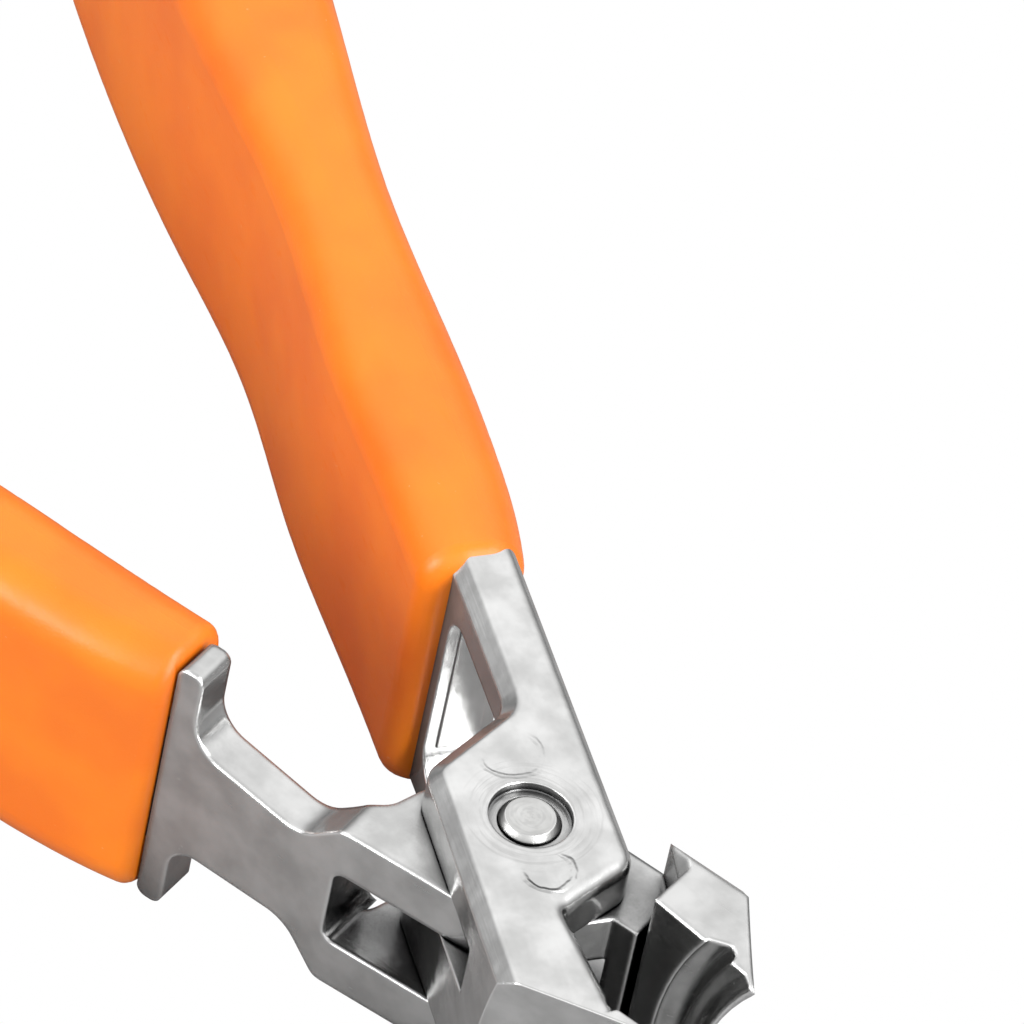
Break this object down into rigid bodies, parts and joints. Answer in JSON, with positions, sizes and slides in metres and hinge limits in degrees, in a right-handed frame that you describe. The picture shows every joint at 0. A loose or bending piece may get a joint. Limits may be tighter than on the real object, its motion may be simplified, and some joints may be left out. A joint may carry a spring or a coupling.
{
  "type": "nail clipper",
  "caption": "Plier-type nail clipper with a wide concave cutting edge, crossing steel levers on a riveted pin and sleeved handles.",
  "frame": {"origin": "centre of the bounding box at its base, with the clipper lying on its side, half open", "axes": "+Z along the pivot pin, upwards; +X towards the cutting edges, midway between the levers; +Y towards the grip of the box lever"},
  "size_m": [0.1172, 0.0816, 0.0176],
  "materials": {
    "box_lever_steel": "satin, brushed on the flats",
    "fork_lever_steel": "satin cast look with bright edges",
    "pin_steel": "ground",
    "grip_orange": "semi-gloss moulded PVC"
  },
  "bodies": {
    "box_lever": {"lever_b": "box_lever_steel", "pivot_pin": "pin_steel", "grip_b": "grip_orange"},
    "fork_lever": {"lever_a": "fork_lever_steel", "grip_a": "grip_orange"}
  },
  "joints": [
    {"name": "lever_pivot", "type": "hinge", "parent": "box_lever", "child": "fork_lever", "pos_m": [0.04352, 0.00034, 0.0088], "axis": [0, 0, -1], "range_deg": [-10, 22]}
  ]
}
